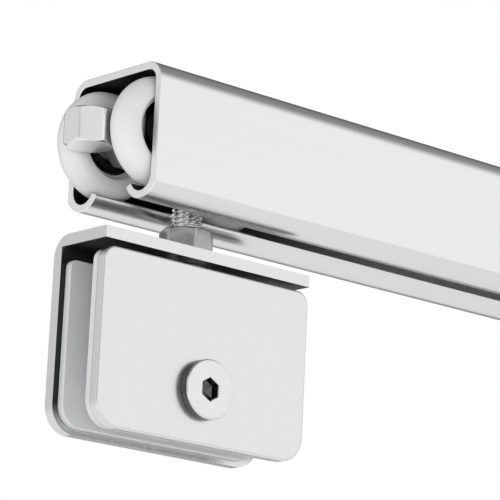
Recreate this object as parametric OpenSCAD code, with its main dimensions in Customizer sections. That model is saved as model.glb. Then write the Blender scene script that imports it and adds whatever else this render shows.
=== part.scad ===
// Ceiling-hung sliding door hardware: a slotted track, a four-wheel trolley
// that rolls in it, and a screw clamp that grips the top edge of a glass door.
// X runs along the track, Z is up, and the origin is the middle of the face
// that goes against the ceiling.

/* [Track] */
// Length of the track
track_length = 300; // [220:10:2000]
// Width over the side walls
track_w = 34; // [32:0.5:44]
// Height from the ceiling face to the underside
track_h = 34.5; // [32:0.5:44]
// Wall thickness
track_wall = 2; // [1.5:0.1:2.5]
// Outer radius of the top corners
track_corner_r = 5; // [3:0.5:7]
// Inner radius of the running gutters
gutter_r = 3.8; // [3.2:0.1:4.2]
// How far the lip tips stand above the gutter floor
lip_rise = 2; // [1.5:0.1:2.5]
// Height of the side crease above the underside
crease_rise = 3.5; // [2.8:0.1:4]
// Diameter of the ceiling screw holes
ceiling_hole_d = 5.5; // [4:0.5:7]
// Distance between the ceiling screw holes
ceiling_hole_pitch = 200; // [120:10:210]

/* [Trolley] */
// Wheel diameter over the tread
wheel_d = 28.4; // [22:0.2:29]
// Radius of the wheels' rounded tread
tread_r = 4.4; // [4:0.1:4.6]
// Distance between the two axles
wheelbase = 38.5; // [36:0.5:60]
// Distance from the track's end to the trolley's middle
trolley_inset = 25; // [22:1:60]
// Width of the trolley body
body_w = 11; // [10:0.2:11]
// Height of the trolley body
body_h = 12; // [10:0.5:16]
// Length of the body beyond each axle
nose_length = 6; // [5:0.5:9]
// Length of the boss that holds the hanger bolt
boss_length = 16; // [14:1:24]
// Depth of the boss below the body
boss_drop = 5; // [3:0.5:8]
// Axle diameter
axle_d = 5; // [4:0.5:6]
// Outer diameter of a wheel bearing
bearing_d = 16; // [15:0.5:17]
// Width of a wheel bearing
bearing_w = 5; // [4:0.5:5]
// Diameter of a bearing ball
ball_d = 2.7; // [2:0.1:3]
// Number of balls in a bearing
ball_count = 8; // [6:1:9]
// Depth of the bearing below the wheel's outer face
bearing_recess = 1.4; // [1.2:0.1:1.8]

/* [Bumper] */
// Bumper size across the flats
bumper_af = 11.6; // [9:0.2:12]
// Bumper height
bumper_h = 9; // [6:0.2:10]
// Distance from an axle to the middle of its bumper
bumper_reach = 13.5; // [12.5:0.1:18]
// Diameter of the bumper's stem
bumper_stem_d = 4; // [3:0.5:5]

/* [Hanger bolt] */
// Thread diameter of the hanger bolt and the clamp screw
thread_d = 8; // [6:1:9]
// Thread pitch
thread_pitch = 1.25; // [1:0.05:1.5]
// Length of the hanger bolt under its head
bolt_length = 36; // [34:1:44]
// Diameter of the bolt's low round head
bolt_head_d = 13; // [11:0.5:15]
// Height of the bolt's head
bolt_head_h = 3.6; // [3:0.1:4]
// Lock nut size across the flats
nut_af = 13; // [13:0.5:15]
// Height of the lock nut
nut_h = 6.5; // [4:0.1:7]
// Angle at which the lock nut stands once it is tight
nut_turn = -20; // [-30:1:30]

/* [Clamp] */
// Distance from the ceiling face to the top of the flange
flange_drop = 42.7; // [42:0.1:52]
// Width of the clamp along the track
clamp_w = 67; // [56:1:90]
// Thickness of the bracket
bracket_t = 3; // [2.5:0.1:4]
// Inner radius of the bracket's bend
bend_r = 2.5; // [1:0.1:3]
// Thickness of the front plate
plate_t = 3; // [2.5:0.1:4]
// Height of the front plate
plate_h = 44.3; // [40:0.1:60]
// Gap between the flange and the front plate
plate_gap = 1.5; // [1:0.1:3]
// Radius of the plates' bottom corners
plate_bottom_r = 7; // [3:0.5:9]
// Radius of the front plate's top corners
plate_top_r = 3.5; // [2:0.5:6]
// Thickness of the glass that the clamp takes
glass_t = 10; // [8:0.5:12]
// Thickness of each gasket
gasket_t = 2; // [1:0.1:3]
// How far the rear gasket stops short of the bracket's edges
rear_gasket_inset = 1.5; // [0.4:0.1:2.5]
// How far the front gasket stops short of the front plate's edges
front_gasket_inset = 0.4; // [0.2:0.1:1.5]
// Height of the clamp screw above the bottom of the plates
screw_rise = 13.6; // [12:0.1:20]
// Diameter of the clamp screw's head
screw_head_d = 15; // [12:0.5:18]
// Height of the clamp screw's head
screw_head_h = 2.4; // [2:0.1:4]
// Key size of both sockets
key_af = 5; // [4:0.5:6]

/* [Clearances] */
// Gap between a wheel's tread and the lip that it rolls on
running_gap = 0.05; // [0.03:0.01:0.1]
// Gap between a wheel's tread and the side wall
wall_gap = 0.25; // [0.2:0.05:0.4]
// Radial clearance of a screw in its thread
thread_play = 0.05; // [0.03:0.01:0.08]
// Radial clearance of a screw in a plain hole
hole_play = 0.3; // [0.2:0.05:0.6]
// Gap between faces that turn on each other
face_gap = 0.05; // [0.03:0.01:0.1]
// Gap between the trolley's boss and the slot's lips
slot_gap = 0.5; // [0.3:0.1:1]
// Space under the bolt's head
head_space = 1.1; // [0.8:0.1:2]

/* [Hidden] */
$fn = 64;
eps = 1;

// Places along the track
trolley_x = -track_length / 2 + trolley_inset;
front_x = trolley_x - wheelbase / 2;
back_x = trolley_x + wheelbase / 2;
left = -1;
right = 1;

// Track section: the middle of each gutter, and where each lip ends round it
gutter_y = track_w / 2 - track_wall - gutter_r;
gutter_z = -track_h + track_wall + gutter_r;
curl_r = gutter_r + track_wall;
lip_mid_r = gutter_r + track_wall / 2;
lip_angle = 180 + asin((gutter_r - lip_rise) / lip_mid_r);
slot_half = gutter_y + curl_r * cos(lip_angle);

// Wheels: each tread rests on the inner corner of its lip's tip and clears the
// wall and the gutter's floor, so the four wheels centre the trolley
tip = [gutter_y + gutter_r * cos(lip_angle), gutter_z + gutter_r * sin(lip_angle)];
wheel_r = wheel_d / 2;
wheel_y = track_w / 2 - track_wall - wall_gap - tread_r;
tread_z = tip[1] + sqrt(pow(tread_r + running_gap, 2) - pow(wheel_y - tip[0], 2));
axle_z = tread_z + wheel_r - tread_r;
crown_r = wheel_r - tread_r;
rim_half = tread_r - 0.1;
hub_lip = 0.4;
shoulder_t = 0.4;
shoulder_w = 0.5;
bearing_out = tread_r - bearing_recess;
bearing_in = bearing_out - bearing_w;
bearing_mid = bearing_out - bearing_w / 2;

// Bearings: the rings wrap a little way round the balls
pitch_r = (axle_d + bearing_d) / 4;
ball_r = ball_d / 2;
race_gap = 0.05;
race_wrap = 0.35;
inner_ring_r = pitch_r - ball_r + race_wrap;
outer_ring_r = pitch_r + ball_r - race_wrap;
seal_t = 0.25;
seal_recess = 0.1;
seal_gap = 0.15;
cage_t = 0.8;
cage_half_w = ball_r + race_wrap;

// Axles and what sits on them
clip_t = 0.6;
clip_groove = 0.4;
clip_spring = 0.2;
clip_r = inner_ring_r;
clip_seat_r = axle_d / 2 - clip_groove;
spacer_t = 1.1;
axle_tip = 0.5;
bearing_out_y = wheel_y + bearing_out;
axle_end_y = bearing_out_y + clip_t + axle_tip;

// Trolley body: how much of the nose the axle hole leaves for the stem
nose_face = 1;
top_bevel = 2;
stem_wall = 0.5;
stem_seat = nose_length - axle_d / 2 - stem_wall;
boss_half_w = slot_half - slot_gap;

// Clamp: planes across the glass, and heights
glass_half = glass_t / 2;
front_inner_y = -glass_half - gasket_t;
front_face_y = front_inner_y - plate_t;
rear_inner_y = glass_half + gasket_t;
rear_face_y = rear_inner_y + bracket_t;
bend_outer_r = bend_r + bracket_t;
flange_top_z = -flange_drop;
flange_low_z = flange_top_z - bracket_t;
plate_top_z = flange_low_z - plate_gap;
plate_low_z = plate_top_z - plate_h;
screw_z = plate_low_z + screw_rise;
bolt_head_top_z = flange_low_z - face_gap;
bolt_head_low_z = bolt_head_top_z - bolt_head_h;
head_pocket_z = bolt_head_low_z - head_space;
sleeve_t = 1.7;
sleeve_gap = 0.2;

// Threads
crest_r = thread_d / 2 - thread_play;
thread_depth = 0.61 * thread_pitch;
root_r = crest_r - thread_depth;
plain_hole_r = thread_d / 2 + hole_play;
socket_depth = 2.6;
screw_bevel = 0.5;
nut_grip = 0.1;
join = 0.1;

// ---- Helpers ----

module on_y() rotate([-90, 0, 0]) children();

// Puts a piece drawn about the origin, facing +Y, on one wheel's place
module at_wheel(x, side) {
    translate([x, side * wheel_y, axle_z])
        mirror([0, side == left ? 1 : 0, 0])
            children();
}

module at_wheels() {
    for (x = [front_x, back_x], side = [left, right])
        at_wheel(x, side) children();
}

// A turned ring between two radii, along +Z
module ring(inner, outer, low, high) {
    translate([0, 0, low])
        difference() {
            cylinder(r = outer, h = high - low);
            translate([0, 0, -eps]) cylinder(r = inner, h = high - low + 2 * eps);
        }
}

// A hexagonal prism with both ends chamfered, about Z, standing on Z = 0
module chamfered_hexagon(af, height) {
    corner_r = af / 2 / cos(30);
    drop = (corner_r - af / 2) * tan(30);
    intersection() {
        rotate([0, 0, 30]) cylinder(r = corner_r, h = height, $fn = 6);
        rotate_extrude()
            polygon([
                [0, 0], [af / 2, 0], [corner_r, drop],
                [corner_r, height - drop], [af / 2, height], [0, height]
            ]);
    }
}

module hexagon_socket(depth) cylinder(d = key_af / cos(30), h = depth, $fn = 6);

// A threaded rod along +Z: a stack of V-shaped ridges
module threaded_rod(low, high) {
    turns = ceil((high - low) / thread_pitch) - 1;
    // radius, and share of a pitch up from the ridge's foot
    ridge = [[root_r, 0], [crest_r, 0.4], [crest_r, 0.6]];
    rotate_extrude()
        polygon(concat(
            [[0, low]],
            [for (i = [0 : turns - 1], point = ridge)
                [point[0], low + (i + point[1]) * thread_pitch]],
            [[root_r, low + turns * thread_pitch], [root_r, high], [0, high]]
        ));
}

// A plate outline with its own corner radii at the top and the bottom,
// its middle at X = 0, between two heights
module plate_outline(width, low, high, low_r, high_r) {
    half = width / 2;
    translate([-half + low_r, low]) square([width - 2 * low_r, low_r + eps]);
    translate([-half, low + low_r]) square([width, high - low - low_r - high_r]);
    translate([-half + high_r, high - high_r - eps]) square([width - 2 * high_r, high_r + eps]);
    for (side = [left, right]) {
        translate([side * (half - low_r), low + low_r]) circle(low_r);
        translate([side * (half - high_r), high - high_r]) circle(high_r);
    }
}

// An outline drawn across the track, given thickness along Y
module plate_between(y_low, y_high) {
    translate([trolley_x, y_high, 0])
        rotate([90, 0, 0])
            linear_extrude(y_high - y_low)
                children();
}

// ---- Track ----

module box_outline(inset) {
    r = track_corner_r - inset;
    half = track_w / 2;
    for (side = [left, right])
        translate([side * (half - track_corner_r), -track_corner_r]) circle(r);
    translate([-half + track_corner_r, -track_corner_r])
        square([track_w - 2 * track_corner_r, track_corner_r - inset]);
    translate([-half + inset, gutter_z])
        square([track_w - 2 * inset, -gutter_z - track_corner_r]);
}

// The curled lip on the +Y side. Its outside is an arc from the crease to the
// underside, then a second arc that follows the gutter round to the tip.
module lip_section() {
    middle = [gutter_y, gutter_z];
    side_w = track_w / 2 - gutter_y;
    outer_r = (side_w * side_w + crease_rise * crease_rise) / (2 * crease_rise);
    far = 2 * curl_r;
    difference() {
        union() {
            intersection() {
                translate([gutter_y, -track_h + outer_r]) circle(outer_r);
                translate([gutter_y, -track_h - eps])
                    square([side_w, track_h + gutter_z + eps]);
            }
            difference() {
                translate(middle) circle(curl_r);
                translate([gutter_y - far, gutter_z]) square(2 * far);
                translate([gutter_y, gutter_z - far]) square(2 * far);
                translate(middle)
                    polygon([
                        [0, 0],
                        far * [cos(lip_angle), sin(lip_angle)],
                        far * [-1, 0.5]
                    ]);
            }
        }
        translate(middle) circle(gutter_r);
    }
}

module track() {
    color("silver")
        difference() {
            translate([-track_length / 2, 0, 0])
                rotate([90, 0, 90])
                    linear_extrude(track_length) {
                        difference() {
                            box_outline(0);
                            box_outline(track_wall);
                        }
                        lip_section();
                        mirror([1, 0]) lip_section();
                    }
            for (x = [left, right])
                translate([x * ceiling_hole_pitch / 2, 0, -track_wall - eps])
                    cylinder(d = ceiling_hole_d, h = track_wall + 2 * eps);
        }
}

// ---- Trolley ----

module trolley_body() {
    half_l = wheelbase / 2 + nose_length;
    half_h = body_h / 2;
    slope = nose_length - nose_face;
    color("lightsteelblue")
        difference() {
            union() {
                translate([trolley_x, body_w / 2, axle_z])
                    rotate([90, 0, 0])
                        linear_extrude(body_w)
                            polygon([
                                [-half_l, half_h - top_bevel], [-half_l + top_bevel, half_h],
                                [half_l - top_bevel, half_h], [half_l, half_h - top_bevel],
                                [half_l, -half_h + slope], [half_l - slope, -half_h],
                                [-half_l + slope, -half_h], [-half_l, -half_h + slope]
                            ]);
                translate([trolley_x - boss_length / 2, -boss_half_w,
                           axle_z - half_h - boss_drop])
                    cube([boss_length, 2 * boss_half_w, boss_drop + eps]);
            }
            for (x = [front_x, back_x])
                translate([x, -body_w / 2 - eps, axle_z])
                    on_y() cylinder(d = axle_d, h = body_w + 2 * eps);
            translate([trolley_x, 0, axle_z - half_h - boss_drop - eps])
                cylinder(d = thread_d, h = body_h + boss_drop + 2 * eps);
            for (end = [left, right])
                translate([trolley_x + end * half_l, 0, axle_z])
                    rotate([0, -90 * end, 0])
                        translate([0, 0, -eps])
                            cylinder(d = bumper_stem_d, h = stem_seat + eps);
        }
}

module bumper(end) {
    color("gainsboro")
        translate([trolley_x + end * (wheelbase / 2 + bumper_reach), 0, axle_z]) {
            translate([0, 0, -bumper_h / 2]) chamfered_hexagon(bumper_af, bumper_h);
            rotate([0, -90 * end, 0])
                cylinder(d = bumper_stem_d, h = bumper_reach - nose_length + stem_seat);
        }
}

module axle(x) {
    seat_y = bearing_out_y;
    color("dimgray")
        translate([x, 0, axle_z])
            on_y() {
                translate([0, 0, -seat_y]) cylinder(d = axle_d, h = 2 * seat_y);
                translate([0, 0, -axle_end_y]) cylinder(r = clip_seat_r, h = 2 * axle_end_y);
                for (side = [0, 1])
                    mirror([0, 0, side])
                        translate([0, 0, seat_y + clip_t])
                            cylinder(d = axle_d, h = axle_end_y - seat_y - clip_t);
            }
}

module axle_clips() {
    mouth = 2 * (clip_seat_r - clip_spring);
    color("darkslategray")
        at_wheels()
            translate([0, bearing_out, 0])
                on_y()
                    difference() {
                        ring(clip_seat_r, clip_r, 0, clip_t);
                        translate([-mouth / 2, 0, -eps])
                            cube([mouth, clip_r + eps, clip_t + 2 * eps]);
                    }
}

module axle_spacers() {
    color("silver")
        at_wheels()
            on_y()
                ring(axle_d / 2, axle_d / 2 + spacer_t,
                     body_w / 2 - wheel_y, bearing_in);
}

// A round tread on a web that is dished towards the hub on both faces
module wheel(x, side) {
    seat_r = bearing_d / 2;
    color("white")
        at_wheel(x, side)
            on_y()
                rotate_extrude()
                    difference() {
                        union() {
                            translate([crown_r, 0]) circle(tread_r);
                            polygon([
                                [seat_r - shoulder_w, bearing_in - shoulder_t],
                                [crown_r, -rim_half], [crown_r, rim_half],
                                [seat_r, bearing_out + hub_lip],
                                [seat_r - shoulder_w, bearing_out + hub_lip]
                            ]);
                        }
                        translate([0, bearing_in]) square([seat_r, 2 * bearing_w]);
                        translate([0, -wheel_r]) square([seat_r - shoulder_w, wheel_d]);
                    }
}

module bearing_outer_ring(x, side) {
    color("lightgray")
        at_wheel(x, side)
            translate([0, bearing_mid, 0])
                on_y()
                    rotate_extrude()
                        difference() {
                            translate([outer_ring_r, -bearing_w / 2])
                                square([bearing_d / 2 - outer_ring_r, bearing_w]);
                            translate([pitch_r, 0]) circle(ball_r + race_gap);
                        }
}

module bearing_inner_ring(x, side) {
    color("lightgray")
        at_wheel(x, side)
            translate([0, bearing_mid, 0])
                on_y()
                    rotate_extrude()
                        difference() {
                            translate([axle_d / 2, -bearing_w / 2])
                                square([inner_ring_r - axle_d / 2, bearing_w]);
                            translate([pitch_r, 0]) circle(ball_r + race_gap);
                        }
}

module ball_places() {
    for (i = [0 : ball_count - 1])
        rotate([0, 0, i * 360 / ball_count])
            translate([pitch_r, 0, 0])
                children();
}

module bearing_balls(x, side) {
    color("gray")
        at_wheel(x, side)
            translate([0, bearing_mid, 0])
                on_y() ball_places() sphere(r = ball_r);
}

module bearing_cage(x, side) {
    color("goldenrod")
        at_wheel(x, side)
            translate([0, bearing_mid, 0])
                on_y()
                    difference() {
                        ring(pitch_r - cage_t / 2, pitch_r + cage_t / 2,
                             -cage_half_w, cage_half_w);
                        ball_places()
                            rotate([0, 90, 0]) cylinder(r = ball_r, h = 3 * cage_t, center = true);
                    }
}

module bearing_seals(x, side) {
    color("black")
        at_wheel(x, side)
            translate([0, bearing_mid, 0])
                on_y()
                    for (face = [0, 1])
                        mirror([0, 0, face])
                            ring(inner_ring_r + seal_gap, outer_ring_r,
                                 bearing_w / 2 - seal_recess - seal_t,
                                 bearing_w / 2 - seal_recess);
}

// ---- Hanger ----

module hanger_bolt() {
    color("gainsboro")
        translate([trolley_x, 0, bolt_head_top_z]) {
            difference() {
                translate([0, 0, -bolt_head_h]) cylinder(d = bolt_head_d, h = bolt_head_h);
                translate([0, 0, -bolt_head_h - eps]) hexagon_socket(socket_depth + eps);
            }
            threaded_rod(-join, bolt_length);
        }
}

module lock_nut() {
    color("darkgray")
        translate([trolley_x, 0, flange_top_z + face_gap])
            difference() {
                rotate([0, 0, nut_turn]) chamfered_hexagon(nut_af, nut_h);
                translate([0, 0, -eps]) cylinder(r = crest_r - nut_grip, h = nut_h + 2 * eps);
            }
}

// ---- Clamp ----

module bracket_section() {
    bend = [rear_face_y - bend_outer_r, flange_top_z - bend_outer_r];
    translate([front_face_y, flange_low_z])
        square([bend[0] - front_face_y, bracket_t]);
    translate([rear_inner_y, plate_low_z])
        square([bracket_t, bend[1] - plate_low_z]);
    intersection() {
        translate(bend)
            difference() {
                circle(bend_outer_r);
                circle(bend_r);
            }
        translate(bend) square(bend_outer_r + eps);
    }
}

// The space that the bolt's head turns in, cut from what it would touch
module head_pocket() {
    translate([trolley_x, 0, head_pocket_z])
        cylinder(r = bolt_head_d / 2 + hole_play, h = flange_low_z - head_pocket_z);
}

module clamp_bracket() {
    color("lightgray")
        difference() {
            intersection() {
                translate([trolley_x - clamp_w / 2, 0, 0])
                    rotate([90, 0, 90])
                        linear_extrude(clamp_w) bracket_section();
                plate_between(front_face_y - eps, rear_face_y + eps)
                    plate_outline(clamp_w, plate_low_z, flange_top_z + 2 * eps,
                                  plate_bottom_r, eps);
            }
            head_pocket();
            translate([trolley_x, 0, flange_low_z - eps])
                cylinder(r = plain_hole_r, h = bracket_t + 2 * eps);
            translate([trolley_x, rear_inner_y - eps, screw_z])
                on_y() cylinder(d = thread_d, h = bracket_t + 2 * eps);
        }
}

module front_plate() {
    color("silver")
        difference() {
            plate_between(front_face_y, front_inner_y)
                plate_outline(clamp_w, plate_low_z, plate_top_z, plate_bottom_r, plate_top_r);
            head_pocket();
            translate([trolley_x, front_face_y - eps, screw_z])
                on_y() cylinder(r = plain_hole_r, h = plate_t + 2 * eps);
        }
}

module gasket(y_low, y_high, inset) {
    color("whitesmoke")
        difference() {
            plate_between(y_low, y_high)
                plate_outline(clamp_w - 2 * inset, plate_low_z + inset, plate_top_z - inset,
                              plate_bottom_r - inset, plate_top_r - inset);
            head_pocket();
            translate([trolley_x, y_low - eps, screw_z])
                on_y() cylinder(r = plain_hole_r, h = y_high - y_low + 2 * eps);
        }
}

module rear_gasket() gasket(glass_half, rear_inner_y, rear_gasket_inset);

module front_gasket() gasket(front_inner_y, -glass_half, front_gasket_inset);

module glass_sleeve() {
    color("ivory")
        translate([trolley_x, 0, screw_z])
            on_y() ring(plain_hole_r, plain_hole_r + sleeve_t, -glass_half, glass_half - sleeve_gap);
}

module clamp_screw() {
    head_r = screw_head_d / 2;
    shank_l = plate_t + gasket_t;
    color("gainsboro")
        translate([trolley_x, front_face_y - face_gap, screw_z])
            on_y() {
                difference() {
                    rotate_extrude()
                        polygon([
                            [0, 0], [head_r, 0], [head_r, -screw_head_h + screw_bevel],
                            [head_r - screw_bevel, -screw_head_h], [0, -screw_head_h]
                        ]);
                    translate([0, 0, -screw_head_h - eps])
                        rotate([0, 0, 30]) hexagon_socket(socket_depth + eps);
                }
                difference() {
                    cylinder(r = crest_r, h = shank_l);
                    translate([0, 0, -screw_head_h - eps])
                        rotate([0, 0, 30]) hexagon_socket(socket_depth + eps);
                }
                threaded_rod(shank_l, rear_face_y - front_face_y);
            }
}

track();
trolley_body();
bumper(left);  // bumper_front
bumper(right);  // bumper_back
axle(front_x);  // axle_front
axle(back_x);  // axle_back
axle_clips();
axle_spacers();
wheel(front_x, left);  // wheel_front_left
wheel(front_x, right);  // wheel_front_right
wheel(back_x, left);  // wheel_back_left
wheel(back_x, right);  // wheel_back_right
bearing_outer_ring(front_x, left);  // bearing_outer_ring_front_left
bearing_outer_ring(front_x, right);  // bearing_outer_ring_front_right
bearing_outer_ring(back_x, left);  // bearing_outer_ring_back_left
bearing_outer_ring(back_x, right);  // bearing_outer_ring_back_right
bearing_inner_ring(front_x, left);  // bearing_inner_ring_front_left
bearing_inner_ring(front_x, right);  // bearing_inner_ring_front_right
bearing_inner_ring(back_x, left);  // bearing_inner_ring_back_left
bearing_inner_ring(back_x, right);  // bearing_inner_ring_back_right
bearing_balls(front_x, left);  // bearing_balls_front_left
bearing_balls(front_x, right);  // bearing_balls_front_right
bearing_balls(back_x, left);  // bearing_balls_back_left
bearing_balls(back_x, right);  // bearing_balls_back_right
bearing_cage(front_x, left);  // bearing_cage_front_left
bearing_cage(front_x, right);  // bearing_cage_front_right
bearing_cage(back_x, left);  // bearing_cage_back_left
bearing_cage(back_x, right);  // bearing_cage_back_right
bearing_seals(front_x, left);  // bearing_seals_front_left
bearing_seals(front_x, right);  // bearing_seals_front_right
bearing_seals(back_x, left);  // bearing_seals_back_left
bearing_seals(back_x, right);  // bearing_seals_back_right
hanger_bolt();
lock_nut();
clamp_bracket();
front_plate();
rear_gasket();
front_gasket();
glass_sleeve();
clamp_screw();
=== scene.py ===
# Sliding door hardware: track, four-wheel trolley, hanger bolt and glass clamp.
import math
import bmesh
import bpy
import numpy as np
from mathutils import Matrix, Vector


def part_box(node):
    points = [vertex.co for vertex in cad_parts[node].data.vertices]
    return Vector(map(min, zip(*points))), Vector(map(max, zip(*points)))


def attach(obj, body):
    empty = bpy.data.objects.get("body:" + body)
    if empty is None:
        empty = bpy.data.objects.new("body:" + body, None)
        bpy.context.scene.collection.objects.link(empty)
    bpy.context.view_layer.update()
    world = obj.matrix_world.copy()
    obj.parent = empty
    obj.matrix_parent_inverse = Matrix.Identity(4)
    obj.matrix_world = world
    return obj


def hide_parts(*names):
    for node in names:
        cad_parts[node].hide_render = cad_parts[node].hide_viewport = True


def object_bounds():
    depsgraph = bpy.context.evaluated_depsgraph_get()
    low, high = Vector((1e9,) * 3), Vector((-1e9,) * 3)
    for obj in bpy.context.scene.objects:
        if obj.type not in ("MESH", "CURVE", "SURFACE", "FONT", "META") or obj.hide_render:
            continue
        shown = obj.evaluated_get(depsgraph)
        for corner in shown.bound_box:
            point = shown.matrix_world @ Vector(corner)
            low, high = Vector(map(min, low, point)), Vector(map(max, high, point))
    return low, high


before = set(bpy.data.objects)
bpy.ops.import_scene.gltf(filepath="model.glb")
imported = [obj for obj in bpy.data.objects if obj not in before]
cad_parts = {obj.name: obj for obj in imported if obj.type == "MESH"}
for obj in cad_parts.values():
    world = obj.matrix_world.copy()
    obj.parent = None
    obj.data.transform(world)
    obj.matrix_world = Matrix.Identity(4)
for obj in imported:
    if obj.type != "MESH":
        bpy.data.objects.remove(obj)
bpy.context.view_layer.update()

mm = 0.001
print("frame loaded:", len(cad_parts), "nodes")


def middle(node):
    low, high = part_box(node)
    return np.array((low + high) / 2)


def size(node):
    low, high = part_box(node)
    return np.array(high - low)


corners = [end + "_" + side for end in ("front", "back") for side in ("left", "right")]


def surface(name, points, closedRows=False, closedCols=True, smoothAngle=32):
    # a grid of points p(u, v) becomes four-sided faces; points that meet at a pole are joined
    rows, cols = points.shape[:2]
    index = np.arange(rows * cols).reshape(rows, cols)
    nextRow = np.roll(index, -1, axis=0)
    faces = np.stack([index, nextRow, np.roll(nextRow, -1, axis=1), np.roll(index, -1, axis=1)], axis=-1)
    faces = faces if closedRows else faces[:-1]
    faces = faces if closedCols else faces[:, :-1]
    mesh = bpy.data.meshes.new(name)
    mesh.from_pydata(points.reshape(-1, 3).tolist(), [], faces.reshape(-1, 4).tolist())
    return finishMesh(name, mesh, smoothAngle)


def finishMesh(name, mesh, smoothAngle):
    work = bmesh.new()
    work.from_mesh(mesh)
    bmesh.ops.remove_doubles(work, verts=work.verts, dist=2e-7)
    bmesh.ops.recalc_face_normals(work, faces=work.faces)
    work.to_mesh(mesh)
    work.free()
    mesh.shade_smooth()
    mesh.set_sharp_from_angle(angle=math.radians(smoothAngle))
    piece = bpy.data.objects.new(name, mesh)
    bpy.context.scene.collection.objects.link(piece)
    return piece


def rounded(path, steps=6):
    # a chain of (x, y, radius) corners; each corner is swapped for the arc that touches both its sides
    path = np.array(path, float)
    made = []
    for i, (x, y, radius) in enumerate(path):
        here = np.array([x, y])
        if radius <= 0 or i in (0, len(path) - 1):
            made.append(here[None])
            continue
        back = path[i - 1, :2] - here
        on = path[i + 1, :2] - here
        back, on = back / np.linalg.norm(back), on / np.linalg.norm(on)
        half = math.acos(np.clip(back @ on, -1, 1)) / 2
        centre = here + (back + on) / np.linalg.norm(back + on) * radius / math.sin(half)
        start = here + back * radius / math.tan(half) - centre
        end = here + on * radius / math.tan(half) - centre
        share = np.linspace(0, 1, steps + 1)[:, None]
        turn = math.pi - 2 * half
        arc = (np.sin((1 - share) * turn) * start + np.sin(share * turn) * end) / math.sin(turn)
        made.append(centre + arc)
    return np.concatenate(made)


def stood(local, axis, centre):
    # turns points drawn about +Z so that they stand along the named axis, then moves them to their place
    x, y, z = local[..., 0], local[..., 1], local[..., 2]
    turned = {"z": (x, y, z), "y": (x, z, -y), "-y": (x, -z, y), "x": (z, x, y), "-x": (-z, x, -y)}[axis]
    return np.stack(turned, axis=-1) + np.asarray(centre)


def polar(radius, height, angles):
    # rows of radius(angle) at a height, written round +Z
    radius = np.broadcast_to(radius, (len(height), len(angles)))
    height = np.broadcast_to(np.reshape(height, (-1, 1)), radius.shape)
    return np.stack([radius * np.cos(angles), radius * np.sin(angles), height], axis=-1)


def roundAngles(count):
    return np.arange(count) * 2 * math.pi / count


def turned(name, profile, axis, centre, count=128, closed=False, smoothAngle=32):
    # a profile of (radius, height) in millimetres carried once round the axis
    profile = np.asarray(profile) * mm
    points = polar(profile[:, :1], profile[:, 1], roundAngles(count))
    return surface(name, stood(points, axis, centre), closedRows=closed, smoothAngle=smoothAngle)


def hexRadius(angles, flat, sharpness=90, turn=0.0):
    # distance to a six-sided outline: the six flats joined by a high power mean, which rounds its corners
    sides = np.arange(6) * math.pi / 3 + turn
    facing = np.maximum(np.cos(angles[:, None] - sides), 0) ** sharpness
    return flat / facing.sum(axis=1) ** (1 / sharpness)


def threadRadius(angles, heights, root, crest, pitch):
    # a ridge that climbs one pitch a turn: a flat-topped wave of height less angle
    phase = (heights[:, None] / pitch - angles[None] / (2 * math.pi)) % 1
    wave = np.clip((1 - np.abs(2 * phase - 1)) * 1.5 - 0.15, 0, 1)
    return root + (crest - root) * wave * wave * (3 - 2 * wave)


# angles in degrees: what counts as an edge, as a crease in the shading, and as one flat face
edges = {"bevelFrom": 40, "sharpFrom": 14, "mergeFlat": 1.0, "flatWeight": 80}


def softEdges(node, width, segments):
    # a copy of a machined part with its points joined and its edges broken by a small bevel
    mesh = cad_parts[node].data.copy()
    work = bmesh.new()
    work.from_mesh(mesh)
    bmesh.ops.remove_doubles(work, verts=work.verts, dist=1e-6)
    bmesh.ops.dissolve_limit(
        work, angle_limit=math.radians(edges["mergeFlat"]), verts=work.verts, edges=work.edges)
    work.to_mesh(mesh)
    work.free()
    mesh.shade_smooth()
    mesh.set_sharp_from_angle(angle=math.radians(edges["sharpFrom"]))
    mesh.materials.clear()
    piece = bpy.data.objects.new(node + "_finished", mesh)
    bpy.context.scene.collection.objects.link(piece)
    bevel = piece.modifiers.new("edge", "BEVEL")
    bevel.width = width * mm
    bevel.segments = segments
    bevel.limit_method = "ANGLE"
    bevel.angle_limit = math.radians(edges["bevelFrom"])
    bevel.miter_outer = "MITER_ARC"
    flat = piece.modifiers.new("flat faces", "WEIGHTED_NORMAL")
    flat.keep_sharp = True
    flat.weight = edges["flatWeight"]
    return piece


def place(piece, body, material, slotName, *nodes):
    piece.data.materials.clear()
    piece.data.materials.append(material)
    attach(piece, body)
    if nodes:
        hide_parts(*nodes)
    return piece


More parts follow.
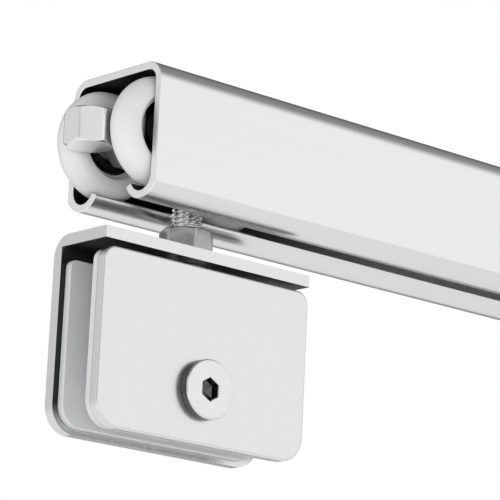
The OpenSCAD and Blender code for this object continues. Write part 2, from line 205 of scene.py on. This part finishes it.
class Wire:
    # a shader socket that can be written in a sum
    def __init__(self, socket):
        self.socket = socket
        self.tree = socket.id_data

    def node(self, kind, settings=None, links=None, out=0):
        made = self.tree.nodes.new("ShaderNode" + kind)
        for key, value in (settings or {}).items():
            setattr(made, key, value)
        for key, value in (links or {}).items():
            if isinstance(value, Wire):
                self.tree.links.new(value.socket, made.inputs[key])
            else:
                made.inputs[key].default_value = value
        return Wire(made.outputs[out])

    def maths(self, operation, other=0.0, swap=False):
        first, second = (other, self) if swap else (self, other)
        return self.node("Math", {"operation": operation}, {0: first, 1: second})

    def __add__(self, other):
        return self.maths("ADD", other)

    def __sub__(self, other):
        return self.maths("SUBTRACT", other)

    def __rsub__(self, other):
        return self.maths("SUBTRACT", other, swap=True)

    def __mul__(self, other):
        return self.maths("MULTIPLY", other)

    def __lt__(self, other):
        return self.maths("LESS_THAN", other)

    def __gt__(self, other):
        return self.maths("GREATER_THAN", other)

    __radd__ = __add__
    __rmul__ = __mul__

    def stretched(self, scale):
        return self.node("VectorMath", {"operation": "MULTIPLY"}, {0: self, 1: scale})

    def noise(self, scale, detail=2.0, roughness=0.5):
        sockets = {"Vector": self, "Scale": scale, "Detail": detail, "Roughness": roughness}
        return self.node("TexNoise", None, sockets)

    def blend(self, first, second):
        return self.node("Mix", {"data_type": "RGBA"}, {0: self, 6: first, 7: second}, out=2)

    def ramp(self, low, high):
        sockets = {0: self, 1: low, 2: high, 3: 0.0, 4: 1.0}
        return self.node("MapRange", {"interpolation_type": "SMOOTHSTEP"}, sockets)

    def part(self, axis):
        return self.node("SeparateXYZ", None, {0: self}, out=axis)

    def bump(self, strength, depth):
        return self.node("Bump", None, {"Height": self, "Strength": strength, "Distance": depth * mm})


def newMaterial(name, constants):
    material = bpy.data.materials.new(name)
    material.use_nodes = True
    shader = material.node_tree.nodes["Principled BSDF"]
    for key, value in constants.items():
        shader.inputs[key].default_value = value
    coordinates = material.node_tree.nodes.new("ShaderNodeTexCoord")
    return material, shader, Wire(coordinates.outputs["Object"])


def wireIn(shader, **sockets):
    for key, wire in sockets.items():
        wire.tree.links.new(wire.socket, shader.inputs[key.replace("_", " ")])


def grey(value, warmth=0.0):
    return (value + warmth, value, value - warmth, 1.0)


# fine lines along one axis, a wider cloud of tone, and both again in the gloss
brushing = {
    "lengthways": {"lines": (45, 3800, 3800), "cloud": (9, 260, 260)},
    "upright": {"lines": (4200, 4200, 70), "cloud": (420, 420, 30)},
    "across": {"lines": (3600, 60, 3600), "cloud": (300, 40, 300)},
}


def brushedMetal(name, light, dark, direction, gloss=0.28, swing=0.14, depth=0.004, warmth=0.0):
    material, shader, place3 = newMaterial(name, {"Metallic": 1.0})
    recipe = brushing[direction]
    lines = place3.stretched(recipe["lines"]).noise(1.0, 3.0, 0.6)
    cloud = place3.stretched(recipe["cloud"]).noise(1.0, 2.0)
    tone = lines * 0.6 + cloud * 0.4
    colour = tone.blend(grey(dark, warmth), grey(light, warmth))
    rough = gloss - swing / 2 + swing * tone
    wireIn(shader, Base_Color=colour, Roughness=rough, Normal=lines.bump(0.35, depth))
    return material


def polishedMetal(name, light, dark, gloss=0.1, scratch=0.06, warmth=0.0):
    material, shader, place3 = newMaterial(name, {"Metallic": 1.0})
    haze = place3.noise(420, 3.0)
    scratches = place3.stretched((900, 2400, 5200)).noise(1.0, 2.0, 0.6)
    tone = haze * 0.7 + scratches * 0.3
    colour = tone.blend(grey(dark, warmth), grey(light, warmth))
    wireIn(shader, Base_Color=colour, Roughness=gloss + scratch * tone, Normal=scratches.bump(0.15, 0.002))
    return material


def whiteNylon():
    material, shader, place3 = newMaterial(
        "wheel nylon", {"Subsurface Weight": 0.12, "Subsurface Scale": 0.0015, "IOR": 1.5})
    shader.inputs["Subsurface Radius"].default_value = (1.0, 0.9, 0.8)
    cloud = place3.noise(160, 3.0)
    grain = place3.noise(2600, 2.0)
    colour = cloud.blend((0.69, 0.69, 0.695, 1), (0.755, 0.755, 0.755, 1))
    wireIn(shader, Base_Color=colour, Roughness=0.32 + 0.16 * grain, Normal=grain.bump(0.12, 0.01))
    return material


def softRubber(name, light, dark, gloss, clear):
    material, shader, place3 = newMaterial(
        name, {"Subsurface Weight": clear, "Subsurface Scale": 0.002, "IOR": 1.42})
    cloud = place3.noise(110, 3.0)
    grain = place3.noise(1800, 3.0)
    colour = cloud.blend(dark, light)
    wireIn(shader, Base_Color=colour, Roughness=gloss + 0.2 * grain, Normal=grain.bump(0.25, 0.02))
    return material


# tones, among them dark painted shade for the channel's hollow and gutters, and the places in metres where
# the hollow begins: the box of the channel with its round corners, the round gutters, the cut end, and the
# stretch along which the painted shade grows paler
channel = {"light": 0.84, "dark": 0.76, "insideShade": 0.025, "insideShadeFar": 0.65, "cutEnd": 0.97,
           "endAt": -0.1498, "deepShadeUntil": -0.11, "paleShadeFrom": -0.03,
           "cornerY": 0.012, "cornerZ": -0.005, "cornerR": 0.00305,
           "gutterY": 0.0112, "gutterZ": -0.0287, "gutterR": 0.00384}


def trackMetal():
    # bright outside; rougher within the channel and the gutters, which carry dark painted shade
    material, shader, place3 = newMaterial("track metal", {"Metallic": 1.0})
    lines = place3.stretched(brushing["lengthways"]["lines"]).noise(1.0, 3.0, 0.6)
    cloud = place3.stretched(brushing["lengthways"]["cloud"]).noise(1.0, 2.0)
    tone = lines * 0.6 + cloud * 0.4
    across = place3.part(1).maths("ABSOLUTE")
    height = place3.part(2)
    aside = (across - channel["cornerY"]).maths("MAXIMUM", 0.0)
    up = (height - channel["cornerZ"]).maths("MAXIMUM", 0.0)
    box = (aside * aside + up * up) < channel["cornerR"] ** 2
    above = height > channel["gutterZ"]
    sideways = across - channel["gutterY"]
    drop = height - channel["gutterZ"]
    gutter = (sideways * sideways + drop * drop) < channel["gutterR"] ** 2
    # the region of painted shade: the channel's hollow with its round corners, and the round gutters
    shadeMask = (box * above).maths("MAXIMUM", gutter)
    along = place3.part(0)
    shadeFade = along.ramp(channel["deepShadeUntil"], channel["paleShadeFrom"])
    cutEnd = (along < channel["endAt"]) * (1.0 - shadeMask)
    drawn = tone.blend(grey(channel["dark"]), grey(channel["light"]))
    outside = cutEnd.blend(drawn, grey(channel["cutEnd"]))
    # dark painted shade over the hollow and gutters, darkest near the cut end and paler further along
    colour = shadeMask.blend(outside, shadeFade.blend(grey(channel["insideShade"]), grey(channel["insideShadeFar"])))
    rough = 0.2 + 0.1 * tone + 0.25 * shadeMask + 0.2 * cutEnd
    wireIn(shader, Base_Color=colour, Roughness=rough, Normal=lines.bump(0.35, 0.003))
    return material


# tones, among them dark painted shade between the plates and under the flange, and in metres the flange's
# underside, the plates' tops, half the width between the plates, and the heights between which the painted
# shade fades out towards the open bottom
grip = {"light": 0.8, "dark": 0.71, "insideShade": 0.05,
        "flangeZ": -0.04565, "plateZ": -0.0468, "halfGap": 0.00705, "fadeFrom": -0.0915, "fadeTo": -0.084}


def clampSteel():
    # brushed upright outside; dark painted shade and a rougher finish on the faces that grip the glass and
    # under the flange
    material, shader, place3 = newMaterial("clamp steel", {"Metallic": 1.0})
    lines = place3.stretched(brushing["upright"]["lines"]).noise(1.0, 3.0, 0.6)
    cloud = place3.stretched(brushing["upright"]["cloud"]).noise(1.0, 2.0)
    tone = lines * 0.6 + cloud * 0.4
    across, height = place3.part(1), place3.part(2)
    # painted shade between the plates and under the flange, fading out towards the open bottom
    under = (height < grip["flangeZ"]) * (across < grip["halfGap"])
    shadeMask = under * (across > -grip["halfGap"]).maths("MAXIMUM", height > grip["plateZ"])
    shadeMask = shadeMask * height.ramp(grip["fadeFrom"], grip["fadeTo"])
    colour = shadeMask.blend(tone.blend(grey(grip["dark"]), grey(grip["light"])), grey(grip["insideShade"]))
    rough = 0.22 + 0.1 * tone + 0.2 * shadeMask
    wireIn(shader, Base_Color=colour, Roughness=rough, Normal=lines.bump(0.35, 0.003))
    return material


# tones, among them the painted shade, and in metres how far the socket's painted shade reaches from the
# middle, where it begins behind the face, and where the painted shade on the head's side begins
screwTone = {"light": 0.8, "dark": 0.72, "shade": 0.12, "socketR": 0.0031, "socketFrom": 0.0002,
             "sideFrom": 0.0005}


def screwSteel():
    # polished on the face, with dark painted shade round the head's side and down in the socket
    t = screwTone
    material, shader, place3 = newMaterial("screw steel", {"Metallic": 1.0})
    haze = place3.noise(420, 3.0)
    sideways, across, height = (place3.part(i) for i in range(3))
    centre, out = middle("clamp_screw"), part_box("clamp_screw")[0].y
    aside, up = sideways - float(centre[0]), height - float(centre[2])
    # painted shade down in the socket and round the head's side, behind its face
    socket = ((aside * aside + up * up) < t["socketR"] ** 2) * (across > out + t["socketFrom"])
    shadeMask = (across > out + t["sideFrom"]).maths("MAXIMUM", socket)
    colour = shadeMask.blend(haze.blend(grey(t["dark"]), grey(t["light"])), grey(t["shade"]))
    rough = 0.14 + 0.08 * haze + 0.1 * shadeMask
    wireIn(shader, Base_Color=colour, Roughness=rough, Normal=haze.bump(0.1, 0.002))
    return material


finishes = {
    "track_metal": trackMetal(),
    "trolley_metal": brushedMetal("trolley metal", 0.5, 0.36, "lengthways", gloss=0.34, depth=0.006),
    "polished_steel": polishedMetal("polished steel", 0.84, 0.76, gloss=0.07),
    "bumper_steel": polishedMetal("bumper steel", 0.92, 0.86, gloss=0.2),
    "axle_steel": brushedMetal("axle steel", 0.5, 0.38, "across", gloss=0.22),
    "bearing_steel": polishedMetal("bearing steel", 0.24, 0.18, gloss=0.16),
    "cage_brass": polishedMetal("cage brass", 0.6, 0.5, gloss=0.22, warmth=0.12),
    "seal_rubber": softRubber("seal rubber", grey(0.012), grey(0.006), 0.35, 0.0),
    "wheel_nylon": whiteNylon(),
    "clamp_steel": clampSteel(),
    "screw_steel": screwSteel(),
    "nut_steel": polishedMetal("nut steel", 0.42, 0.34, gloss=0.14),
    "gasket_rubber": softRubber(
        "gasket rubber", (0.68, 0.69, 0.69, 1), (0.6, 0.61, 0.61, 1), 0.24, 0.2),
    "sleeve_plastic": softRubber(
        "sleeve plastic", (0.84, 0.83, 0.79, 1), (0.76, 0.75, 0.71, 1), 0.35, 0.15),
}
print("finishes made")


# track, trolley and clamp plates: machined parts with broken edges
machined = {
    # node: (bevel width in mm, segments, finish, body)
    "track": (0.22, 2, "track_metal", "track"),
    "trolley_body": (0.35, 3, "trolley_metal", "trolley"),
    "clamp_bracket": (0.45, 3, "clamp_steel", "bracket"),
    "front_plate": (0.6, 4, "clamp_steel", "front_clamp"),
    "rear_gasket": (0.5, 3, "gasket_rubber", "bracket"),
    "front_gasket": (0.5, 3, "gasket_rubber", "front_clamp"),
    "glass_sleeve": (0.25, 2, "sleeve_plastic", "front_clamp"),
    "axle_clips": (0.08, 2, "axle_steel", "trolley"),
    "axle_spacers": (0.12, 2, "axle_steel", "trolley"),
    "axle_front": (0.15, 2, "axle_steel", "trolley"),
    "axle_back": (0.15, 2, "axle_steel", "trolley"),
}

for node, (width, segments, finish, body) in machined.items():
    place(softEdges(node, width, segments), body, finishes[finish], finish, node)
print("machined parts finished")


wheelShape = {"rimInset": 0.1, "treadTurn": 96, "hubLip": 0.35, "hubBevel": 0.12, "shoulder": 0.5,
              "shoulderThick": 0.4, "join": 0.1}


def sCurve(start, end, steps=12):
    # from one (radius, height) to another along half a cosine wave: level at both ends
    share = np.linspace(0, 1, steps)[:, None]
    start, end = np.array(start), np.array(end)
    radius = start[0] + (end[0] - start[0]) * share
    height = start[1] + (end[1] - start[1]) * (1 - np.cos(math.pi * share)) / 2
    return np.concatenate([radius, height], axis=1)


def wheelProfile(radius, halfWidth, seat, seatOut, seatIn):
    # closed outline in (radius, height), height outwards: a round tread that runs on over both
    # faces, then a cosine dish down to the hub and a bored seat for the bearing
    s = wheelShape
    crown = radius - halfWidth
    turn = np.radians(np.linspace(-s["treadTurn"], s["treadTurn"], 57))
    rim = halfWidth - s["rimInset"] * np.sin(turn) ** 2
    tread = np.stack([crown + halfWidth * np.cos(turn), rim * np.sin(turn)], axis=-1)
    hubOut = seatOut + s["hubLip"]
    outer = sCurve(tread[-1] - [s["join"], 0], (seat + s["hubBevel"], hubOut))
    lip = [(seat, hubOut - s["hubBevel"]), (seat, seatIn), (seat - s["shoulder"], seatIn)]
    hubIn = seatIn - s["shoulderThick"]
    inner = sCurve((seat - s["shoulder"], hubIn), tread[0] - [s["join"], 0])
    return np.concatenate([tread, outer, lip, inner])


for corner in corners:
    wheelNode, ringNode = "wheel_" + corner, "bearing_outer_ring_" + corner
    out = "y" if corner.endswith("right") else "-y"
    sign = 1 if out == "y" else -1
    centre = middle(wheelNode)
    halfWidth = size(wheelNode)[1] / 2 / mm
    ringMiddle = sign * (middle(ringNode)[1] - centre[1]) / mm
    ringHalf = size(ringNode)[1] / 2 / mm
    profile = wheelProfile(
        size(wheelNode)[0] / 2 / mm, halfWidth, size(ringNode)[0] / 2 / mm,
        ringMiddle + ringHalf, ringMiddle - ringHalf)
    wheel = turned("nylon_wheel_" + corner, profile, out, centre, 160, closed=True)
    place(wheel, "wheel_" + corner, finishes["wheel_nylon"], "wheel_nylon", wheelNode)
print("wheels turned")


# black rubber rings with a moulded groove, one on each face of a bearing
sealShape = {"thick": 0.25, "clear": 0.15, "groove": 0.1, "grooveAt": 0.55, "grooveHalf": 0.28}


def sealProfile(inner, outer, face):
    # a thin flat ring whose outside has one rounded groove: face - depth * cos^2 about its middle
    s = sealShape
    radius = np.linspace(inner, outer, 33)
    away = np.clip((radius - inner - s["grooveAt"]) / s["grooveHalf"], -1, 1)
    top = np.stack([radius, face - s["groove"] * np.cos(away * math.pi / 2) ** 2], axis=-1)
    under = np.array([(outer, face - s["thick"]), (inner, face - s["thick"])])
    return np.concatenate([top, under])


for corner in corners:
    node = "bearing_seals_" + corner
    centre = middle(node)
    inner = size("bearing_inner_ring_" + corner)[0] / 2 / mm + sealShape["clear"]
    outer, face = size(node)[0] / 2 / mm, size(node)[1] / 2 / mm
    discs = [
        turned("seal_" + side + corner, sealProfile(inner, outer, face), axis, centre, 96, closed=True)
        for side, axis in (("plus_", "y"), ("minus_", "-y"))]
    for disc in discs:
        place(disc, "wheel_" + corner, finishes["seal_rubber"], "seal_rubber")
    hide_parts(node)
    for kind, finish in (("outer_ring", "bearing_steel"), ("inner_ring", "bearing_steel"),
                         ("balls", "bearing_steel"), ("cage", "cage_brass")):
        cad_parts["bearing_" + kind + "_" + corner].data.materials.clear()
        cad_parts["bearing_" + kind + "_" + corner].data.materials.append(finishes[finish])
print("bearings finished")


# in millimetres, and the turn of the hexagon on its stem in degrees
bumperShape = {"turn": -7.0, "stem": 2.0, "stemBevel": 0.3}


# the cones' slope, how sharply they meet the flats, and the small round at each end, in millimetres
blockShape = {"slope": 0.577, "blend": 70, "coneOut": 0.02, "endRound": 0.18, "endStep": 0.4, "tip": 0.05}


def hexBlockRows(flat, height, angles, cut=1.0, turn=0.0):
    # a hexagonal block whose ends are cut by cones: at each height the nearer of the
    # hexagon's flats and the cone, softly joined
    b = blockShape
    outline = hexRadius(angles, flat, turn=turn)
    corner = flat / math.cos(math.pi / 6)
    drop = (corner - flat) * b["slope"]
    climb = drop * (1 - np.cos(np.linspace(0, math.pi / 2, 12)))
    low = np.concatenate([climb, height - climb[::-1]])
    gap = np.minimum(low, height - low)
    cone = flat * cut + gap / b["slope"] + b["coneOut"] * mm
    power = b["blend"]
    radius = (outline[None] ** -power + cone[:, None] ** -power) ** (-1 / power)
    pole = np.zeros((1, len(angles)))
    soft = radius[[0, -1]] - b["endRound"] * mm
    inset = soft - b["endStep"] * mm
    radius = np.concatenate([pole, inset[:1], soft[:1], radius, soft[1:], inset[1:], pole])
    tip = b["tip"] * mm
    heights = np.concatenate([np.full(3, -tip), low, np.full(3, height + tip)])
    heights = np.clip(heights, -tip, height + tip)
    return radius, heights


for end in ("front", "back"):
    node = "bumper_" + end
    low, high = (np.array(corner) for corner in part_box(node))
    flat = size(node)[1] / 2 * math.cos(math.pi / 6)
    turn = math.radians(bumperShape["turn"])
    reach = flat * math.cos(math.pi / 6 - abs(turn)) / math.cos(math.pi / 6)
    hexX = (low[0] + reach) if end == "front" else (high[0] - reach)
    angles = roundAngles(240)
    tip = blockShape["tip"] * mm
    radius, heights = hexBlockRows(flat, high[2] - low[2] - 2 * tip, angles, turn=turn)
    centre = (hexX, middle(node)[1], low[2] + tip)
    block = surface("hex_" + node, stood(polar(radius, heights, angles), "z", centre), smoothAngle=25)
    place(block, "trolley", finishes["bumper_steel"], "bumper_steel", node)
    stemLength = (high[0] - low[0] - reach) / mm
    stemR, bevel = bumperShape["stem"], bumperShape["stemBevel"]
    stem = [(0, 0), (stemR, 0), (stemR, stemLength - bevel), (stemR - bevel, stemLength), (0, stemLength)]
    outwards = "x" if end == "front" else "-x"
    rod = turned("stem_" + node, stem, outwards, (hexX, centre[1], middle(node)[2]), 64)
    place(rod, "trolley", finishes["axle_steel"], "axle_steel")
print("bumpers made")


# threads and screw heads, in millimetres
threadShape = {"pitch": 1.25, "root": 3.2, "crest": 3.93, "perTurn": 12, "runIn": 1.2, "tipIn": 0.5}
headShape = {"rim": 0.45, "underRim": 0.15, "socketFlat": 2.5, "socketRim": 0.3, "socketDepth": 2.5,
             "floorDip": 0.7}
hangerShape = {"headHeight": 3.6}
screwShape = {"headHeight": 2.4, "shank": 5.0}


def boltRows(headRadius, headHeight, shank, length, angles):
    # rows from the head's face to the rod's tip: socket, head, plain shank, climbing thread, bevelled tip
    h, t = headShape, threadShape
    count = len(angles)
    hexLine = hexRadius(angles, h["socketFlat"], 160)

    def ring(radius, height):
        return np.full((1, count), radius), [height]

    face = -headHeight
    deep = face + h["socketDepth"]
    rows = [ring(0.0, deep + h["floorDip"]), (0.96 * hexLine[None], [deep + 0.1]), (hexLine[None], [deep])]
    rows += [(hexLine[None], [face + h["socketRim"]]), (hexLine[None] + h["socketRim"] * 0.8, [face])]
    edge = rounded([(headRadius - 2, face, 0), (headRadius, face, h["rim"]), (headRadius, 0, h["underRim"]),
                    (t["crest"], 0, 0)], 5)
    rows += [ring(radius, height) for radius, height in edge]
    if shank > 0:
        rows += [ring(t["crest"], shank - 0.1)]
    steps = int((length - shank) / t["pitch"] * t["perTurn"])
    climb = np.linspace(shank + 0.02, length, steps)
    thread = threadRadius(angles, climb, t["root"], t["crest"], t["pitch"])
    runIn = np.clip((climb - shank) / t["runIn"], 0, 1)[:, None]
    thread = t["crest"] * (1 - runIn) + thread * runIn if shank > 0 else thread
    thread = np.minimum(thread, t["root"] - t["tipIn"] + np.maximum(length - climb, 0)[:, None])
    rows += [(thread, climb), ring(0.0, length)]
    radius = np.concatenate([row[0] for row in rows])
    return radius * mm, np.concatenate([row[1] for row in rows]) * mm


# how the nut stands once it is tight, in degrees, and its bore in millimetres past the bolt's thread
nutShape = {"turn": -20, "cut": 0.97, "rootPlay": 0.6, "crestPlay": 0.25, "mouthPlay": 0.55,
            "mouthDeep": 0.4}


def nutRows(flat, height, angles):
    # the block of the nut with a threaded bore through it, closed back on itself
    t, n = threadShape, nutShape
    radius, heights = hexBlockRows(flat, height, angles, cut=n["cut"], turn=math.radians(n["turn"]))
    radius, heights = radius[1:-1], heights[1:-1]
    deep = n["mouthDeep"] * mm
    climb = np.linspace(heights[-1] - deep, heights[0] + deep, 60)
    root, crest = t["root"] + n["rootPlay"], t["crest"] + n["crestPlay"]
    bore = threadRadius(angles, climb / mm, root, crest, t["pitch"]) * mm
    mouth = np.full((1, len(angles)), (t["crest"] + n["mouthPlay"]) * mm)
    radius = np.concatenate([mouth, radius, mouth, bore])
    heights = np.concatenate([heights[:1], heights, heights[-1:], climb])
    return radius, heights


angles = roundAngles(144)
boltLow, boltHigh = (np.array(corner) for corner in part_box("hanger_bolt"))
seat = boltLow[2] + hangerShape["headHeight"] * mm
radius, heights = boltRows(
    size("hanger_bolt")[0] / 2 / mm, hangerShape["headHeight"], 0.0, (boltHigh[2] - seat) / mm, angles)
boltPlace = (middle("hanger_bolt")[0], middle("hanger_bolt")[1], seat)
bolt = surface("threaded_hanger", stood(polar(radius, heights, angles), "z", boltPlace), smoothAngle=35)
place(bolt, "hanger", finishes["polished_steel"], "polished_steel", "hanger_bolt")

nutLow, nutHigh = (np.array(corner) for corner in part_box("lock_nut"))
nutAngles = roundAngles(240)
flat = size("lock_nut")[1] / 2 * math.cos(math.pi / 6)
tip = blockShape["tip"] * mm
radius, heights = nutRows(flat, nutHigh[2] - nutLow[2] - 2 * tip, nutAngles)
nutPlace = (middle("lock_nut")[0], middle("lock_nut")[1], nutLow[2] + tip)
nut = surface("hex_lock_nut", stood(polar(radius, heights, nutAngles), "z", nutPlace),
              closedRows=True, smoothAngle=25)
place(nut, "hanger", finishes["nut_steel"], "nut_steel", "lock_nut")

screwLow, screwHigh = (np.array(corner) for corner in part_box("clamp_screw"))
underHead = screwLow[1] + screwShape["headHeight"] * mm
radius, heights = boltRows(
    size("clamp_screw")[0] / 2 / mm, screwShape["headHeight"], screwShape["shank"],
    (screwHigh[1] - underHead) / mm, angles)
screwPlace = (middle("clamp_screw")[0], underHead, middle("clamp_screw")[2])
screw = surface("button_screw", stood(polar(radius, heights, angles), "y", screwPlace), smoothAngle=35)
place(screw, "clamp_screw", finishes["screw_steel"], "polished_steel", "clamp_screw")
print("bolts and nut made")


stage = {"floorDrop": 0.21, "floorRadius": 2.2, "floorTone": 0.86, "floorGlow": 0.5}
room = {"farSide": (0.66, 0.75, 0.0), "leftSide": (-0.66, 0.75, 0.0), "overheadDim": 0.75, "farDim": 0.85,
        "leftDim": 0.3, "backSide": (-0.86, -0.51, 0.0), "backDim": 0.5, "level": 1.05}
# a dark card beyond the track, in metres from the middle of the hardware's left half
card = {"middle": (-0.1, 0.0), "away": 0.75, "halfWidth": 0.55, "low": -0.29, "high": 0.12,
        "light": 0.26, "dark": 0.22}
# where each lamp stands, what it points at, its width and height in metres and its power in watts
lamps = {
    "key": ((-0.75, -0.55, -0.08), (-0.12, 0, -0.04), 0.5, 0.35, 1.8),
    "side": ((-0.9, 0.2, 0.1), (-0.12, 0, -0.04), 0.5, 0.5, 0.8),
}
# angles in degrees, lengths in metres, lens and sensor in millimetres; the aim is from the front
# plate's middle, and the slide moves the camera across its own picture
view = {"azimuth": 41.38, "elevation": -13.6, "roll": 2.75, "distance": 0.748, "focal": 212.6,
        "sensor": 36.0, "aim": (0.015, 0.0194), "slide": (0.0055, 0.0116), "clip": (0.01, 20)}


def makeFloor():
    # a wide, round and level floor, well under the hardware
    radii = np.array([0.0, 0.3, 0.8, 1.4, stage["floorRadius"]])
    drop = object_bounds()[0].z - stage["floorDrop"]
    points = polar(radii[:, None], np.full(len(radii), drop), roundAngles(96))
    floor = surface("floor", points, smoothAngle=60)
    material, shader, place3 = newMaterial("floor paint", {"Roughness": 0.6})
    cloud = place3.noise(6, 3.0)
    tone = stage["floorTone"]
    shader.inputs["Emission Strength"].default_value = stage["floorGlow"]
    wireIn(shader, Base_Color=cloud.blend(grey(tone - 0.03), grey(tone)))
    shader.inputs["Emission Color"].default_value = (1, 1, 1, 1)
    floor.data.materials.append(material)


def makeWorld():
    # a pale room: bright at eye level, dimmer overhead, to the left and behind, and dark on the
    # side beyond the track; what the camera sees straight on stays white
    world = bpy.data.worlds.new("studio")
    world.use_nodes = True
    bpy.context.scene.world = world
    tree = world.node_tree
    background = tree.nodes["Background"]
    direction = Wire(tree.nodes.new("ShaderNodeTexCoord").outputs["Generated"])
    height = direction.part(2)
    towardsFar = direction.node(
        "VectorMath", {"operation": "DOT_PRODUCT"}, {0: direction, 1: room["farSide"]}, out=1)
    towardsLeft = direction.node(
        "VectorMath", {"operation": "DOT_PRODUCT"}, {0: direction, 1: room["leftSide"]}, out=1)
    towardsBack = direction.node(
        "VectorMath", {"operation": "DOT_PRODUCT"}, {0: direction, 1: room["backSide"]}, out=1)
    overhead = height.ramp(0.32, 0.75)
    far = towardsFar.ramp(0.45, 0.85)
    left = towardsLeft.ramp(0.5, 0.9)
    dim = (1.0 - overhead * room["overheadDim"]) * (1.0 - far * room["farDim"]) * room["level"]
    dim = dim * (1.0 - left * room["leftDim"]) * (1.0 - towardsBack.ramp(0.8, 0.97) * room["backDim"])
    seen = direction.node("LightPath", out=0)
    level = dim * (1.0 - seen) + seen
    tree.links.new(level.socket, background.inputs["Strength"])
    background.inputs["Color"].default_value = (1, 1, 1, 1)


def makeFlag():
    # a dark upright card beyond the track, out of the camera's sight, for the underside to mirror
    along = np.linspace(-1, 1, 9) * card["halfWidth"]
    up = np.linspace(card["low"], card["high"], 5)
    centre = np.array(card["middle"]) + np.array(room["farSide"][:2]) * card["away"]
    side = np.array([-room["farSide"][1], room["farSide"][0]])
    foot = np.repeat((centre + along[:, None] * side)[:, None], len(up), axis=1)
    heights = np.broadcast_to(up[None, :, None], (len(along), len(up), 1))
    points = np.concatenate([foot, heights], axis=-1)
    flag = surface("flag", points, closedCols=False)
    material, shader, place3 = newMaterial("flag cloth", {"Roughness": 0.9})
    wireIn(shader, Base_Color=place3.noise(30).blend(grey(card["dark"]), grey(card["light"])))
    flag.data.materials.append(material)
    flag.visible_camera = False


def softBox(name, at, towards, width, height, power):
    lamp = bpy.data.lights.new(name, "AREA")
    lamp.shape = "RECTANGLE"
    lamp.size, lamp.size_y, lamp.energy = width, height, power
    box = bpy.data.objects.new(name, lamp)
    box.location = at
    box.rotation_euler = (Vector(towards) - Vector(at)).to_track_quat("-Z", "Y").to_euler()
    box.visible_glossy = False
    bpy.context.scene.collection.objects.link(box)


def makeCamera():
    # the camera stands off the clamp at the stated angles, below it and looking up
    around, up = math.radians(-view["azimuth"]), math.radians(view["elevation"])
    back = Vector((math.sin(around) * math.cos(up), -math.cos(around) * math.cos(up), math.sin(up)))
    right = Vector((math.cos(around), math.sin(around), 0))
    upward = back.cross(right)
    roll = math.radians(view["roll"])
    rightTurned = math.cos(roll) * right + math.sin(roll) * upward
    upTurned = math.cos(roll) * upward - math.sin(roll) * right
    plate = Vector(middle("front_plate"))
    target = Vector((plate.x + view["aim"][0], 0.0, plate.z + view["aim"][1]))
    centre = target + rightTurned * view["slide"][0] + upTurned * view["slide"][1]
    lens = bpy.data.cameras.new("camera")
    lens.lens, lens.sensor_width = view["focal"], view["sensor"]
    lens.clip_start, lens.clip_end = view["clip"]
    camera = bpy.data.objects.new("camera", lens)
    turn = Matrix((rightTurned, upTurned, back)).transposed().to_4x4()
    camera.matrix_world = Matrix.Translation(centre + back * view["distance"]) @ turn
    bpy.context.scene.collection.objects.link(camera)
    bpy.context.scene.camera = camera


makeFloor()
makeWorld()
makeFlag()
for name, recipe in lamps.items():
    softBox(name, *recipe)
makeCamera()
bpy.context.scene.view_settings.view_transform = "Standard"
print("stage set")
